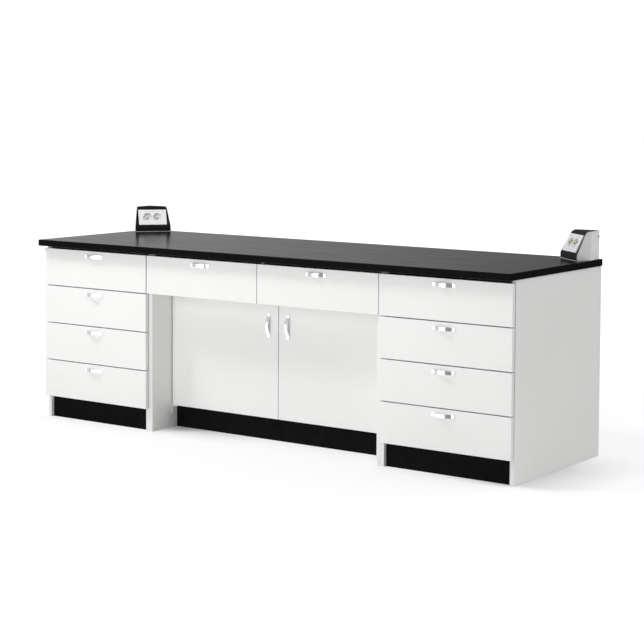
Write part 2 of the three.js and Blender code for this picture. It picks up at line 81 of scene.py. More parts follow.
# Studio floor, in metres
FLOOR_RADIUS = 40.0
FLOOR_SIDES = 96
FLOOR_WHITE = 0.74
FLOOR_GLOW = 1.24
FLOOR_LIFT = 0.50
FLOOR_LIFT_RANGE = (1.2, 4.5)
# Beside the right end and in the left knee recess the floor's white lift drops to FLOOR_LIFT_UNDER,
# so the floor is darker there: painted shade that deepens the bench's shadow
FLOOR_LIFT_UNDER = 0.02
END_SHADE = {"across": (0.80, 1.10, 1.18, 1.50), "along": (-0.36, -0.28, 0.05, 0.40)}
KNEE_SHADE = {"across": (-0.64, -0.60, -0.52, -0.05), "along": (-0.37, -0.20, 0.05, 0.40)}
FLOOR_SHEEN = 1.25
FLOOR_SHEEN_RIGHT = 0.32
FLOOR_RIGHT_TOWARDS = (1.0, 0.10, 0.0)
FLOOR_RIGHT_RANGE = (0.85, 1.10)
FLOOR_SHEEN_LEFT = 0.62
FLOOR_LEFT_TOWARDS = (-1.0, 0.05, 0.0)
FLOOR_LEFT_RANGE = (0.80, 0.92)

# Studio lamps, in metres and watts
LAMP_AIM = (0.0, -0.34, 0.45)
KEY_LAMP = {"place": (-2.66, -2.16, 4.35), "side": 1.1, "power": 105.0}
FRONT_LAMP = {"place": (-0.2, -4.4, 1.3), "side": 2.4, "power": 75.0}

# Light from all round: the fill falls on surfaces, and the sheen is what glossy ones mirror
WHITE = (1, 1, 1, 1)
FILL_CEILING = 0.76
FILL_CEILING_RANGE = (0.35, 0.9)
FILL_BACK_RIGHT = 1.88
BACK_RIGHT_TOWARDS = (0.45, 0.89, 0.0)
BACK_RIGHT_RANGE = (0.3, 0.9)
SHEEN_LEFT = 0.74
SHEEN_RIGHT = 0.26
SHEEN_SIDE_RANGE = (-0.74, -0.46)
SHEEN_SCREEN = 1.15
SHEEN_OFF_SCREEN = 0.25
SCREEN_TOWARDS = (-0.55, -0.83, 0.0)
SCREEN_RANGE = (0.55, 0.85)
SHEEN_FRONT_RANGE = (-0.25, 0.05)
SHEEN_OVERHEAD = 0.28
OVERHEAD_RANGE = (0.30, 0.65)
SHEEN_HIGH_RIGHT = 4.0
HIGH_RIGHT_TOWARDS = (0.58, -0.33, 0.74)
HIGH_RIGHT_RANGE = (0.80, 0.95)

# Board sizes
BOARD = 18.0
BOARD_EASE = 1.1
WORKTOP_EASE = 3.0
WORKTOP_EASE_STEPS = 4
FRONT_TRIM = 1.0
CENTRE_TRIM = 3.0
DOOR_TRIM = 1.2
NOTCH_DEPTH = 22.0
NOTCH_HEIGHT = 14.0
DOORS = ("left_door", "right_door")
PLAIN_WHITE_NODES = (
    "left_pedestal_bottom",
    "right_pedestal_bottom",
    "drawer_deck",
    "cupboard_bottom",
    "back_panel",
)
PLINTH_NODES = ("left_plinth", "right_plinth", "cupboard_plinth")

# Drawer sizes
DRAWER_ROWS = range(1, 5)
PEDESTAL_DRAWERS = [f"{side}_drawer_{row}" for side in ("left", "right") for row in DRAWER_ROWS]
CENTRE_DRAWERS = ["centre_drawer_left", "centre_drawer_right"]
DRAWERS = PEDESTAL_DRAWERS + CENTRE_DRAWERS
BOX_SIDE = 15.0
BOX_FLOOR = 8.0
BOX_EASE = 0.8
FLANGE_REACH = 10.05
FLANGE_HEIGHT = 11.0
RUNNER_STEEL = 1.4
RUNNER_EASE = 0.4
RUNNER_SETBACK = 6.0
PANEL_GAP = 2.7
CHANNEL_SEAT = 0.05
CHANNEL_REACH = 11.5
CHANNEL_HEIGHT = 14.6
CHANNEL_DROP = 1.8

# Bow handle sizes
HANDLE_LENGTH = 102.0
HANDLE_WIDTH = 16.0
HANDLE_RISE = 15.0
HANDLE_STRIP = 3.0
HANDLE_FOOT = 13.0
HANDLE_COLUMNS = 51
HANDLE_EASE = 0.7
HANDLE_EASE_ANGLE = 50.0
HANDLE_UPRIGHT = (0, math.pi / 2, 0)

# Where the socket boxes stand: X, Y, Z and the turn in degrees
SOCKET_BOXES = {
    "left": (-1096.1, 279.6, 800.3, 49.0),
    "right": (1103.9, 265.3, 800.3, -39.0),
}

# Socket box sizes, in a box's own frame: X along the front, Y back to the corner
BOX_PLAN = [(-85, 0), (85, 0), (66, 68), (7, 129), (-7, 129), (-66, 68)]
PLAN_START_RADIUS = 50.0
BOX_HEIGHT = 115.0
BOX_LIP = 23.5
BOX_LEAN = math.radians(26.5)
BOX_ROUND = 23.0
BOX_ROUND_STEPS = 8
BOX_SHOULDER_ROUND = 24.0
BOX_SHOULDER_STEPS = 5
BOX_WALL = 2.0
BOX_SEAM = 0.3
HOUSING_EASE = 0.7
HOOD_THICK = 5.0
HOOD_MARGIN = 2.0
WINDOW_REACH = 5.0
HOOD_EASE = 0.6
STRIP_LOW = (-84.0, -0.9, 0.0)
STRIP_HIGH = (84.0, 0.6, 1.6)
STRIP_EASE = 0.4

# Rear facet sizes, from the shoulder: X along the facet, Y into the box
VENT_AT = (77.0, 91.5)
VENT_RADIUS = 6.0
VENT_SIDES = 32
VENT_DRILL_LENGTH = 30.0
VENT_PLUG_GAP = 0.05
VENT_PLUG_THICK = 2.4
VENT_PLUG_DEPTH = 2.3
VENT_DISH_RIM = 1.0
VENT_DISH_DEPTH = 0.8
VENT_EASE = 0.2
KNOCKOUT_LOW = (11.0, 1.5)
KNOCKOUT_HIGH = (51.0, 41.0)
KNOCKOUT_GROOVE = 3.4
KNOCKOUT_DEPTH = 1.6
KNOCKOUT_CUT = 3.0
KNOCKOUT_PROUD = 0.1
KNOCKOUT_SEAT = 0.1
KNOCKOUT_EASE = 0.3

# Socket plate sizes, from the plate's middle: X across, Y up the slope, Z out of it
PLATE_SIZE = (130.6, 76.0)
PLATE_MIDDLE = 46.0
PLATE_BACK = -5.0
PLATE_FACE = 5.0
PLATE_BORDER = 8.5
PLATE_GROOVE_SIDE = 0.5
PLATE_GROOVE_DEPTH = 1.0
PLATE_FIELD_RISE = 0.6
PLATE_EASE = 0.5
SOCKET_PITCH = 46.0
SOCKET_HOLE_RADIUS = 22.0

# Socket cup sizes, with the cup's rings as radius and height
CUP_RINGS = [
    (22.4, 3.4),
    (22.1, 4.5),
    (21.7, 4.8),
    (21.3, 4.5),
    (21.0, 3.7),
    (20.7, -9.6),
    (20.0, -10.8),
    (18.6, -11.2),
]
CUP_SIDES = 64
CUP_WALL = 1.5
CUP_SMOOTH_ANGLE = 35.0
GUIDE_CUT_AT = 22.0
GUIDE_CUT_REACH = 2.5
GUIDE_CUT_HALF_WIDTH = 1.8
GUIDE_CUT_HEIGHTS = (-7.0, 2.6)
CONTACT_AT = 9.5
CONTACT_RADIUS = 2.8
CONTACT_HEIGHTS = (-12.1, -8.0)
CONTACT_SIDES = 24
CLIP_TURNS = {"left": 152.0, "right": 325.0}
CLIP_LOW = (17.8, -3.2, -10.6)
CLIP_HIGH = (19.1, 3.2, -6.0)
CLIP_BENDS = [(-1.7, 0, 2.4), (0.5, 0, 1.4), (2.4, 0, 3.0)]
CLIP_EASE = 0.35
SLOT_TURNS = {"left": 180.0, "right": 0.0}
SLOT_LOW = (21.3, -1.7, -6.8)
SLOT_HIGH = (22.1, 1.7, 2.4)
SLOT_RIM = 0.4
SLOT_SINK = 0.25
SLOT_EASE = 0.1
SCREW_RADIUS = 3.6
SCREW_HEIGHTS = (-11.6, -9.6)
SCREW_SIDES = 32
SCREW_SLOT_HALF_WIDTH = 0.6
SCREW_SLOT_HEIGHTS = (-10.4, -9.0)
SCREW_EASE = 0.25
SCREW_EASE_ANGLE = 60.0


# Modelling by hand

def deselect_all():
    bpy.ops.object.select_all(action="DESELECT")


def take(piece):
    deselect_all()
    piece.select_set(True)
    bpy.context.view_layer.objects.active = piece


def delete_piece(piece):
    take(piece)
    bpy.ops.object.delete()


def apply_place(piece):
    take(piece)
    bpy.ops.object.transform_apply(location=True, rotation=True, scale=True)


def name_piece(piece, name):
    piece.name = name
    piece.data.name = name


def copy_piece(piece, name, shift=(0, 0, 0), turn=(0, 0, 0)):
    take(piece)
    bpy.ops.object.duplicate(linked=False)
    copy = bpy.context.object
    copy.rotation_euler = turn
    copy.location = [value * MM for value in shift]
    apply_place(copy)
    name_piece(copy, name)
    return copy


def add_block(name, low, high):
    deselect_all()
    middle = [(a + b) / 2 * MM for a, b in zip(low, high)]
    bpy.ops.mesh.primitive_cube_add(size=1, location=middle)
    block = bpy.context.object
    block.scale = [(b - a) * MM for a, b in zip(low, high)]
    apply_place(block)
    name_piece(block, name)
    return block


def add_drum(name, radius, heights, x, sides=DRUM_SIDES):
    deselect_all()
    low, high = heights
    bpy.ops.mesh.primitive_cylinder_add(
        vertices=sides,
        radius=radius * MM,
        depth=(high - low) * MM,
        location=(x * MM, 0, (low + high) / 2 * MM),
    )
    drum = bpy.context.object
    apply_place(drum)
    name_piece(drum, name)
    return drum


def open_mesh(piece):
    take(piece)
    bpy.ops.object.mode_set(mode="EDIT")
    bpy.ops.mesh.select_all(action="DESELECT")


def close_mesh():
    bpy.ops.object.mode_set(mode="OBJECT")


def pick_faces(piece, wanted):
    bpy.ops.mesh.select_mode(type="FACE")
    bpy.ops.mesh.select_all(action="DESELECT")
    shape = bmesh.from_edit_mesh(piece.data)
    for face in shape.faces:
        face.select_set(bool(wanted(face.calc_center_median() / MM, face.normal)))
    bmesh.update_edit_mesh(piece.data)


def pick_edges(piece, wanted):
    bpy.ops.mesh.select_mode(type="EDGE")
    bpy.ops.mesh.select_all(action="DESELECT")
    shape = bmesh.from_edit_mesh(piece.data)
    for edge in shape.edges:
        edge.select_set(bool(wanted(edge.verts[0].co / MM, edge.verts[1].co / MM)))
    bmesh.update_edit_mesh(piece.data)


def pick_points(piece, wanted):
    bpy.ops.mesh.select_mode(type="VERT")
    bpy.ops.mesh.select_all(action="DESELECT")
    shape = bmesh.from_edit_mesh(piece.data)
    for point in shape.verts:
        point.select_set(bool(wanted(point.co / MM)))
    bmesh.update_edit_mesh(piece.data)


def shift_picked(x, y, z):
    bpy.ops.transform.translate(value=(x * MM, y * MM, z * MM))


def pull_picked(x, y, z):
    bpy.ops.mesh.extrude_region_move(TRANSFORM_OT_translate={"value": (x * MM, y * MM, z * MM)})


def pull_picked_edges(x, y, z):
    bpy.ops.mesh.extrude_edges_move(TRANSFORM_OT_translate={"value": (x * MM, y * MM, z * MM)})


def inset_picked(width, depth=0.0):
    bpy.ops.mesh.inset(thickness=width * MM, depth=depth * MM)


def round_picked(run_out, steps):
    bpy.ops.mesh.bevel(offset=run_out * MM, segments=steps, profile=ROUND_PROFILE, affect="EDGES")


def slice_off(place, towards):
    bpy.ops.mesh.select_all(action="SELECT")
    bpy.ops.mesh.bisect(
        plane_co=[value * MM for value in place],
        plane_no=towards,
        use_fill=True,
        clear_outer=True,
    )


def face_outwards():
    bpy.ops.mesh.select_all(action="SELECT")
    bpy.ops.mesh.remove_doubles(threshold=MERGE * MM)
    bpy.ops.mesh.normals_make_consistent(inside=False)


def turn_faces_out(piece):
    open_mesh(piece)
    face_outwards()
    close_mesh()


def close_slits(piece):
    open_mesh(piece)
    bpy.ops.mesh.select_all(action="SELECT")
    bpy.ops.mesh.remove_doubles(threshold=MERGE * MM)
    bpy.ops.mesh.dissolve_degenerate(threshold=MERGE * MM)
    close_mesh()


def ease_edges(piece, width, steps=EASE_STEPS, angle=EASE_ANGLE):
    take(piece)
    bpy.ops.object.shade_smooth()
    bpy.ops.object.modifier_add(type="BEVEL")
    ease = piece.modifiers[-1]
    ease.width = width * MM
    ease.segments = steps
    ease.limit_method = "ANGLE"
    ease.angle_limit = math.radians(angle)
    ease.harden_normals = True
    bpy.ops.object.modifier_apply(modifier=ease.name)


def thicken(piece, thickness, offset):
    take(piece)
    bpy.ops.object.modifier_add(type="SOLIDIFY")
    wall = piece.modifiers[-1]
    wall.thickness = thickness * MM
    wall.offset = offset
    wall.use_even_offset = True
    bpy.ops.object.modifier_apply(modifier=wall.name)


def cut_away(piece, cutter):
    take(piece)
    bpy.ops.object.modifier_add(type="BOOLEAN")
    cut = piece.modifiers[-1]
    cut.operation = "DIFFERENCE"
    cut.solver = "EXACT"
    cut.object = cutter
    bpy.ops.object.modifier_apply(modifier=cut.name)
    delete_piece(cutter)


# Finishes

def start_finish(name):
    finish = bpy.data.materials.new(name)
    finish.use_nodes = True
    tree = finish.node_tree
    return finish, tree, tree.nodes["Principled BSDF"]


def field(tree, scale, detail, stretch=(1, 1, 1)):
    place = tree.nodes.new("ShaderNodeTexCoord")
    mapping = tree.nodes.new("ShaderNodeMapping")
    mapping.inputs["Scale"].default_value = stretch
    noise = tree.nodes.new("ShaderNodeTexNoise")
    noise.inputs["Scale"].default_value = scale
    noise.inputs["Detail"].default_value = detail
    tree.links.new(place.outputs["Object"], mapping.inputs["Vector"])
    tree.links.new(mapping.outputs["Vector"], noise.inputs["Vector"])
    return noise.outputs["Fac"]


def spread(tree, value, low, high, start=0.3, end=0.7):
    reach = tree.nodes.new("ShaderNodeMapRange")
    reach.inputs["From Min"].default_value = start
    reach.inputs["From Max"].default_value = end
    reach.inputs["To Min"].default_value = low
    reach.inputs["To Max"].default_value = high
    tree.links.new(value, reach.inputs["Value"])
    return reach.outputs["Result"]


def between(tree, value, one, other):
    mix = tree.nodes.new("ShaderNodeMix")
    mix.data_type = "RGBA"
    mix.inputs["A"].default_value = (*one, 1)
    mix.inputs["B"].default_value = (*other, 1)
    tree.links.new(value, mix.inputs["Factor"])
    return mix.outputs["Result"]


def mottle(tree, shader, dark, light, scale, detail):
    clouds = spread(tree, field(tree, scale, detail), 0.0, 1.0)
    tree.links.new(between(tree, clouds, dark, light), shader.inputs["Base Color"])


def vary_roughness(tree, shader, rough, scale, detail, stretch=(1, 1, 1)):
    polish = spread(tree, field(tree, scale, detail, stretch), *rough)
    tree.links.new(polish, shader.inputs["Roughness"])


def raise_grain(tree, shader, strength, height, scale, detail):
    grain = field(tree, scale, detail)
    bump = tree.nodes.new("ShaderNodeBump")
    bump.inputs["Strength"].default_value = strength
    bump.inputs["Distance"].default_value = height * MM
    tree.links.new(grain, bump.inputs["Height"])
    tree.links.new(bump.outputs["Normal"], shader.inputs["Normal"])


def white_board_finish(name, dark, light, rough):
    finish, tree, shader = start_finish(name)
    mottle(tree, shader, dark, light, scale=2.3, detail=4.0)
    vary_roughness(tree, shader, rough, scale=45.0, detail=3.0)
    raise_grain(tree, shader, strength=0.08, height=0.12, scale=850.0, detail=2.0)
    return finish


def worktop_finish(name, dark, light, rough):
    finish, tree, shader = start_finish(name)
    flecks = spread(tree, field(tree, scale=1300.0, detail=1.0), 0.0, 1.0, start=0.5, end=0.75)
    tree.links.new(between(tree, flecks, dark, light), shader.inputs["Base Color"])
    vary_roughness(tree, shader, rough, scale=14.0, detail=4.0, stretch=(0.25, 3.0, 3.0))
    raise_grain(tree, shader, strength=0.05, height=0.08, scale=620.0, detail=2.0)
    shader.inputs["Specular IOR Level"].default_value = 0.06
    return finish


def matt_black_finish(name, dark, light, rough):
    finish, tree, shader = start_finish(name)
    mottle(tree, shader, dark, light, scale=35.0, detail=4.0)
    vary_roughness(tree, shader, rough, scale=180.0, detail=3.0)
    raise_grain(tree, shader, strength=0.15, height=0.15, scale=950.0, detail=2.0)
    shader.inputs["Specular IOR Level"].default_value = 0.03
    return finish


def chrome_finish(name, dark, light, rough):
    finish, tree, shader = start_finish(name)
    mottle(tree, shader, dark, light, scale=70.0, detail=3.0)
    vary_roughness(tree, shader, rough, scale=420.0, detail=4.0)
    raise_grain(tree, shader, strength=0.03, height=0.05, scale=1600.0, detail=2.0)
    shader.inputs["Metallic"].default_value = 1.0
    return finish


def zinc_finish(name, dark, light, rough):
    finish, tree, shader = start_finish(name)
    mottle(tree, shader, dark, light, scale=120.0, detail=5.0)
    vary_roughness(tree, shader, rough, scale=240.0, detail=4.0)
    raise_grain(tree, shader, strength=0.06, height=0.08, scale=700.0, detail=2.0)
    shader.inputs["Metallic"].default_value = 1.0
    return finish


def brass_finish(name, dark, light, rough):
    finish, tree, shader = start_finish(name)
    mottle(tree, shader, dark, light, scale=300.0, detail=3.0)
    vary_roughness(tree, shader, rough, scale=500.0, detail=3.0)
    shader.inputs["Metallic"].default_value = 1.0
    return finish


def plastic_finish(name, dark, light, rough, grain=0.12, gloss=0.4):
    finish, tree, shader = start_finish(name)
    mottle(tree, shader, dark, light, scale=60.0, detail=4.0)
    vary_roughness(tree, shader, rough, scale=320.0, detail=3.0)
    raise_grain(tree, shader, strength=grain, height=0.1, scale=1900.0, detail=1.0)
    shader.inputs["Specular IOR Level"].default_value = gloss
    return finish


MELAMINE = white_board_finish(
    "white_melamine",
    dark=(0.850, 0.850, 0.840),
    light=(0.875, 0.875, 0.865),
    rough=(0.38, 0.50),
)
EDGE_BAND = white_board_finish(
    "white_edge_band",
    dark=(0.840, 0.840, 0.830),
    light=(0.865, 0.865, 0.855),
    rough=(0.30, 0.40),
)
LAMINATE = worktop_finish(
    "black_laminate",
    dark=(0.003, 0.003, 0.0033),
    light=(0.0075, 0.0075, 0.008),
    rough=(0.19, 0.235),
)
WORKTOP_EDGE = matt_black_finish(
    "black_edge_band",
    dark=(0.0022, 0.0022, 0.0025),
    light=(0.0042, 0.0041, 0.0045),
    rough=(0.42, 0.60),
)
PLINTH_BLACK = matt_black_finish(
    "plinth_black",
    dark=(0.0032, 0.0032, 0.0036),
    light=(0.0056, 0.0056, 0.0062),
    rough=(0.42, 0.60),
)
CHROME = chrome_finish(
    "handle_chrome",
    dark=(0.80, 0.81, 0.83),
    light=(0.90, 0.905, 0.91),
    rough=(0.10, 0.20),
)
ZINC = zinc_finish(
    "runner_zinc",
    dark=(0.50, 0.52, 0.55),
    light=(0.68, 0.70, 0.72),
    rough=(0.28, 0.46),
)
HOOD_BLACK = plastic_finish(
    "hood_black",
    dark=(0.007, 0.007, 0.0072),
    light=(0.011, 0.011, 0.0113),
    rough=(0.34, 0.48),
    gloss=0.04,
)
HOUSING_GREY = plastic_finish(
    "housing_grey",
    dark=(0.78, 0.78, 0.79),
    light=(0.82, 0.82, 0.83),
    rough=(0.36, 0.48),
)
PLATE_WHITE = plastic_finish(
    "plate_white",
    dark=(0.91, 0.91, 0.92),
    light=(0.94, 0.94, 0.95),
    rough=(0.22, 0.32),
    grain=0.05,
)
FIELD_WHITE = plastic_finish(
    "socket_field_white",
    dark=(0.89, 0.89, 0.90),
    light=(0.92, 0.92, 0.93),
    rough=(0.28, 0.38),
    grain=0.05,
)
PIVOT_WHITE = plastic_finish(
    "pivot_white",
    dark=(0.82, 0.82, 0.81),
    light=(0.86, 0.86, 0.85),
    rough=(0.34, 0.46),
    grain=0.05,
    gloss=0.3,
)
# Near-black: the vent plug's own colour, and painted shade on the guide slot blocks inside the cup
# notches
VENT_BLACK_AND_SLOT_SHADE = plastic_finish(
    "vent_black_and_slot_shade",
    dark=(0.004, 0.004, 0.004),
    light=(0.009, 0.009, 0.009),
    rough=(0.5, 0.6),
    gloss=0.1,
)
BRASS = brass_finish(
    "earth_clip_brass",
    dark=(0.52, 0.38, 0.17),
    light=(0.72, 0.55, 0.28),
    rough=(0.25, 0.38),
)
SCREW_COPPER = plastic_finish(
    "centre_screw_copper",
    dark=(0.17, 0.11, 0.11),
    light=(0.24, 0.16, 0.16),
    rough=(0.4, 0.5),
    grain=0.1,
    gloss=0.1,
)


def dress(piece, body, slot, *finishes):
    piece.data.materials.clear()
    for finish in finishes:
        piece.data.materials.append(finish)
    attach(piece, body)


def paint_node(node, finish):
    for slot in nodes[node].material_slots:
        slot.material = finish


# Boards

def box_of(node):
    low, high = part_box(node)
    return low / MM, high / MM


def gap_between(node, other):
    return box_of(other)[0] - box_of(node)[0]


def band_narrow_sides(board, thin_axis):
    open_mesh(board)
    pick_faces(board, lambda place, normal: abs(normal[thin_axis]) < SIDEWAYS)
    board.active_material_index = SECOND_FINISH
    bpy.ops.object.material_slot_assign()
    close_mesh()


def model_board(name, low, high, thin_axis):
    board = add_block(name, low, high)
    board.data.materials.append(MELAMINE)
    board.data.materials.append(EDGE_BAND)
    band_narrow_sides(board, thin_axis)
    ease_edges(board, BOARD_EASE)
    return board


def dress_board(board, body, node):
    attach(board, body)
    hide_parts(node)


def make_worktop():
    low, high = box_of("worktop")
    worktop = add_block("bench_worktop", low, high)
    ease_edges(worktop, WORKTOP_EASE, WORKTOP_EASE_STEPS)
    dress(worktop, "carcass", "worktop_black", LAMINATE, WORKTOP_EDGE)
    band_narrow_sides(worktop, AXIS_Z)
    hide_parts("worktop")


def make_drawer_fronts():
    first = DRAWERS[0]
    low, high = box_of(first + "_front")
    high.z -= FRONT_TRIM
    master = model_board("drawer_front_board", low, high, AXIS_Y)
    fronts = {first: master}
    for drawer in DRAWERS[1:]:
        shift = gap_between(first + "_front", drawer + "_front")
        fronts[drawer] = copy_piece(master, drawer + "_front_board", shift)
    name_piece(master, first + "_front_board")
    trim_left_side(fronts["centre_drawer_left"])
    for drawer, front in fronts.items():
        dress_board(front, drawer, drawer + "_front")


def trim_left_side(front):
    left_side = min(point.co.x for point in front.data.vertices) / MM
    open_mesh(front)
    pick_points(front, lambda point: point.x < left_side + BOARD)
    shift_picked(CENTRE_TRIM, 0, 0)
    close_mesh()


def make_doors():
    low, high = box_of("left_door")
    trim = Vector((DOOR_TRIM, 0, 0))
    left = model_board("left_door_board", low + trim, high, AXIS_Y)
    right = copy_piece(left, "right_door_board", gap_between("left_door", "right_door") - trim)
    dress_board(left, "left_door", "left_door")
    dress_board(right, "right_door", "right_door")


def make_panels():
    for side in ("left", "right"):
        for kind in ("end", "inner", "knee"):
            node = f"{side}_{kind}_panel"
            low, high = box_of(node)
            board_on_low_side = (side == "left") != (kind == "inner")
            if board_on_low_side:
                high.x = low.x + BOARD
            else:
                low.x = high.x - BOARD
            panel = model_board(f"{node}_board", low, high, AXIS_X)
            if kind != "end":
                notch_front_corner(panel, low, high)
            dress_board(panel, "carcass", node)


def make_divider():
    low, high = box_of("drawer_divider")
    low.x = -BOARD / 2
    high.x = BOARD / 2
    divider = model_board("drawer_divider_board", low, high, AXIS_X)
    notch_front_corner(divider, low, high)
    dress_board(divider, "carcass", "drawer_divider")


def notch_front_corner(panel, low, high):
    start = (low.x - BOARD, low.y - BOARD, high.z - NOTCH_HEIGHT)
    end = (high.x + BOARD, low.y + NOTCH_DEPTH, high.z + BOARD)
    cut_away(panel, add_block("notch_cutter", start, end))


def finish_plain_nodes():
    for node in PLAIN_WHITE_NODES:
        paint_node(node, MELAMINE)
    for node in PLINTH_NODES:
        paint_node(node, PLINTH_BLACK)
    for door in DOORS:
        paint_node(door + "_lower_pivot", PIVOT_WHITE)
        paint_node(door + "_upper_pivot", PIVOT_WHITE)


# Handles

def bow_height(along):
    bow_half = HANDLE_LENGTH / 2 - HANDLE_FOOT
    if abs(along) >= bow_half:
        return HANDLE_STRIP / 2
    return HANDLE_STRIP / 2 + HANDLE_RISE * math.cos(math.pi / 2 * along / bow_half)


def model_handle():
    deselect_all()
    bpy.ops.mesh.primitive_plane_add(size=1, rotation=(math.pi / 2, 0, 0))
    handle = bpy.context.object
    handle.scale = (HANDLE_LENGTH * MM, HANDLE_WIDTH * MM, 1)
    apply_place(handle)
    name_piece(handle, "bow_handle")
    open_mesh(handle)
    pick_edges(handle, lambda one, other: abs(one.z - other.z) < NEAR)
    bpy.ops.mesh.subdivide(number_cuts=HANDLE_COLUMNS - 1)
    for column in range(HANDLE_COLUMNS + 1):
        along = HANDLE_LENGTH * (column / HANDLE_COLUMNS - 0.5)
        pick_points(handle, lambda point: abs(point.x - along) < NEAR)
        shift_picked(0, -bow_height(along), 0)
    close_mesh()
    thicken(handle, HANDLE_STRIP, WALL_CENTRED)
    turn_faces_out(handle)
    ease_edges(handle, HANDLE_EASE, EASE_STEPS, HANDLE_EASE_ANGLE)
    return handle


def handle_place(node):
    low, high = box_of(node)
    return ((low.x + high.x) / 2, high.y, (low.z + high.z) / 2)


def make_handles():
    master = model_handle()
    handles = {}
    for drawer in DRAWERS:
        place = handle_place(drawer + "_handle")
        handles[drawer] = copy_piece(master, drawer + "_bow_handle", place)
    for door in DOORS:
        place = handle_place(door + "_handle")
        handles[door] = copy_piece(master, door + "_bow_handle", place, HANDLE_UPRIGHT)
    delete_piece(master)
    for body, handle in handles.items():
        dress(handle, body, "handle_chrome", CHROME)
        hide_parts(body + "_handle")


# Drawer boxes and runners

def model_drawer_box(low, high):
    box = add_block("open_box", low, high)
    open_mesh(box)
    pick_faces(box, lambda place, normal: normal.z > FACING)
    inset_picked(BOX_SIDE)
    pull_picked(0, 0, -(high.z - low.z - BOX_FLOOR))
    close_mesh()
    ease_edges(box, BOX_EASE, FINE_EASE_STEPS)
    return box


def finish_bent_steel(piece):
    turn_faces_out(piece)
    thicken(piece, RUNNER_STEEL, WALL_CENTRED)
    turn_faces_out(piece)
    ease_edges(piece, RUNNER_EASE, FINE_EASE_STEPS)


def model_flange(name, x, outwards, low, high):
    deselect_all()
    bend_x = x + outwards * (FLANGE_REACH - RUNNER_STEEL / 2)
    z = low.z + RUNNER_STEEL / 2
    middle = ((x + bend_x) / 2 * MM, (low.y + high.y) / 2 * MM, z * MM)
    bpy.ops.mesh.primitive_plane_add(size=1, location=middle)
    flange = bpy.context.object
    flange.scale = (abs(bend_x - x) * MM, (high.y - low.y) * MM, 1)
    apply_place(flange)
    name_piece(flange, name)
    open_mesh(flange)
    pick_edges(flange, lambda one, other: abs(one.x - bend_x) < NEAR and abs(other.x - bend_x) < NEAR)
    pull_picked_edges(0, 0, FLANGE_HEIGHT - RUNNER_STEEL / 2)
    close_mesh()
    finish_bent_steel(flange)
    return flange


def model_channel(name, x, towards, low, high):
    deselect_all()
    web_x = x + towards * (CHANNEL_SEAT + RUNNER_STEEL / 2)
    front = low.y + RUNNER_SETBACK
    back = high.y + RUNNER_SETBACK
    bottom = low.z - CHANNEL_DROP
    middle = (web_x * MM, (front + back) / 2 * MM, (bottom + CHANNEL_HEIGHT / 2) * MM)
    bpy.ops.mesh.primitive_plane_add(size=1, location=middle, rotation=(0, math.pi / 2, 0))
    channel = bpy.context.object
    channel.scale = ((CHANNEL_HEIGHT - RUNNER_STEEL) * MM, (back - front) * MM, 1)
    apply_place(channel)
    name_piece(channel, name)
    open_mesh(channel)
    pick_edges(channel, lambda one, other: abs(one.z - other.z) < NEAR)
    pull_picked_edges(towards * (CHANNEL_REACH - RUNNER_STEEL / 2), 0, 0)
    close_mesh()
    finish_bent_steel(channel)
    return channel


def model_drawer_set(drawer):
    low, high = box_of(drawer + "_box")
    left_panel = low.x - PANEL_GAP
    right_panel = high.x + PANEL_GAP
    low.x += FLANGE_REACH
    high.x -= FLANGE_REACH
    return {
        "open_box": model_drawer_box(low, high),
        "left_flange": model_flange("left_flange", low.x, -1, low, high),
        "right_flange": model_flange("right_flange", high.x, 1, low, high),
        "left_channel": model_channel("left_channel", left_panel, 1, low, high),
        "right_channel": model_channel("right_channel", right_panel, -1, low, high),
    }


def make_drawer_boxes():
    for group in (PEDESTAL_DRAWERS, CENTRE_DRAWERS):
        masters = model_drawer_set(group[0])
        for drawer in group:
            shift = gap_between(group[0] + "_box", drawer + "_box")
            for kind, master in masters.items():
                piece = copy_piece(master, f"{drawer}_{kind}", shift)
                dress_drawer_piece(piece, drawer, kind)
        for master in masters.values():
            delete_piece(master)


def dress_drawer_piece(piece, drawer, kind):
    if kind == "open_box":
        dress(piece, drawer, "white_board", MELAMINE)
        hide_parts(drawer + "_box")
    elif kind.endswith("channel"):
        dress(piece, "carcass", "pivot_steel", ZINC)
    else:
        dress(piece, drawer, "pivot_steel", ZINC)


# Socket boxes

def model_socket_body(name):
    deselect_all()
    bpy.ops.mesh.primitive_circle_add(
        vertices=len(BOX_PLAN),
        radius=PLAN_START_RADIUS * MM,
        fill_type="NGON",
    )
    body = bpy.context.object
    name_piece(body, name)
    open_mesh(body)
    move_to_plan(body)
    bpy.ops.mesh.select_all(action="SELECT")
    pull_picked(0, 0, BOX_HEIGHT)
    face_outwards()
    round_shoulders(body)
    slope_front(body)
    face_outwards()
    close_mesh()
    return body


def move_to_plan(body):
    for index, (x, y) in enumerate(BOX_PLAN):
        shape = bmesh.from_edit_mesh(body.data)
        shape.verts.ensure_lookup_table()
        here = shape.verts[index].co / MM
        pick_points(body, lambda point: (point - here).length < SAME_POINT)
        shift_picked(x - here.x, y - here.y, 0)


def round_shoulders(body):
    front_corner, shoulder, tail = (Vector(point) for point in BOX_PLAN[1:4])
    pick_edges(body, lambda one, other: at_shoulder(one, shoulder) and at_shoulder(other, shoulder))
    turn = (shoulder - front_corner).angle_signed(tail - shoulder)
    round_picked(BOX_SHOULDER_ROUND * math.tan(abs(turn) / 2), BOX_SHOULDER_STEPS)


def at_shoulder(point, shoulder):
    return abs(abs(point.x) - shoulder.x) < NEAR and abs(point.y - shoulder.y) < NEAR


def slope_front(body):
    slice_off((0, 0, BOX_LIP), (0, -math.cos(BOX_LEAN), math.sin(BOX_LEAN)))
    ridge = (BOX_HEIGHT - BOX_LIP) * math.tan(BOX_LEAN)
    pick_edges(body, lambda one, other: on_ridge(one, ridge) and on_ridge(other, ridge))
    round_picked(BOX_ROUND * math.tan((math.pi / 2 - BOX_LEAN) / 2), BOX_ROUND_STEPS)


def on_ridge(point, ridge):
    return abs(point.z - BOX_HEIGHT) < NEAR and abs(point.y - ridge) < NEAR


